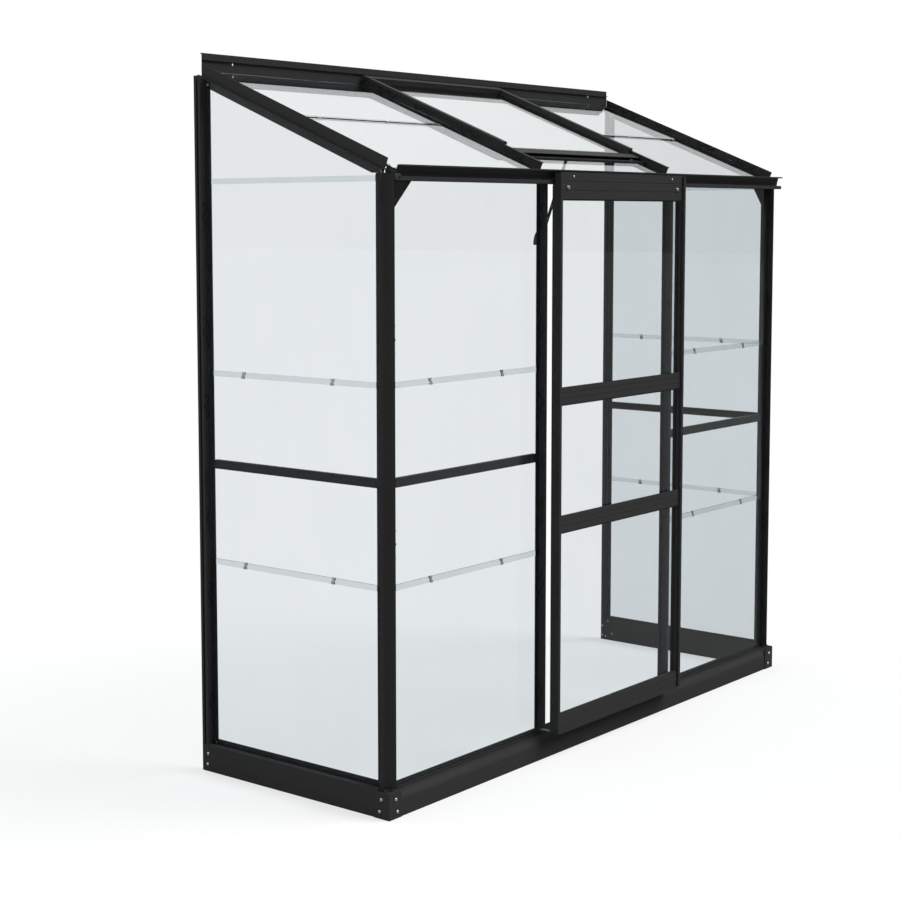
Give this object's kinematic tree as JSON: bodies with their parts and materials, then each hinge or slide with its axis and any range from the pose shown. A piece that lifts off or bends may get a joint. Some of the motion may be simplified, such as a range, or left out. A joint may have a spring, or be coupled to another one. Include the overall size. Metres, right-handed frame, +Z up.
{
  "type": "lean-to glass greenhouse",
  "caption": "Narrow lean-to greenhouse: black aluminium frame, lapped clear glass, sloping roof with a vent, and a sliding door hung from a track under the eave.",
  "frame": {"origin": "centre of the outer box, on the ground", "axes": "+X along the wall to the right as seen from the front, +Y towards the wall, +Z up"},
  "size_m": [1.934, 0.6936, 1.882],
  "materials": {
    "black_frame": "black powder coat, satin",
    "clear_glass": "clear float glass",
    "black_nylon": "moulded nylon",
    "zinc_steel": "bright zinc-plated screws and clips"
  },
  "bodies": {
    "frame": {"front_sill": "black_frame", "sill_corner_brackets": "black_frame", "eave_beam": "black_frame", "eave_gussets": "black_frame", "wall_plate": "black_frame", "left_sill": "black_frame", "right_sill": "black_frame", "left_wall_post": "black_frame", "right_wall_post": "black_frame", "left_corner_post": "black_frame", "right_corner_post": "black_frame", "left_door_post": "black_frame", "right_door_post": "black_frame", "left_gable_rafter": "black_frame", "right_gable_rafter": "black_frame", "left_roof_bar": "black_frame", "right_roof_bar": "black_frame", "left_side_rail": "black_frame", "right_side_rail": "black_frame", "left_front_rail": "black_frame", "right_front_rail": "black_frame", "vent_top_rail": "black_frame", "vent_bottom_rail": "black_frame", "left_vent_stile": "black_frame", "right_vent_stile": "black_frame", "vent_slam_bar": "black_frame", "vent_stay": "black_frame", "left_side_panes": "clear_glass", "right_side_panes": "clear_glass", "left_front_panes": "clear_glass", "right_front_panes": "clear_glass", "left_roof_panes": "clear_glass", "right_roof_panes": "clear_glass", "middle_roof_pane": "clear_glass", "vent_pane": "clear_glass"},
    "door": {"left_door_stile": "black_frame", "right_door_stile": "black_frame", "door_top_rail": "black_frame", "door_upper_transom": "black_frame", "door_lower_transom": "black_frame", "door_bottom_rail": "black_frame", "door_panes": "clear_glass", "door_rollers": "black_nylon", "door_guides": "black_nylon"}
  },
  "joints": [
    {"name": "door_slide", "type": "slide", "parent": "frame", "child": "door", "axis": [1, 0, 0], "range_m": [-0.61, 0.61]}
  ]
}
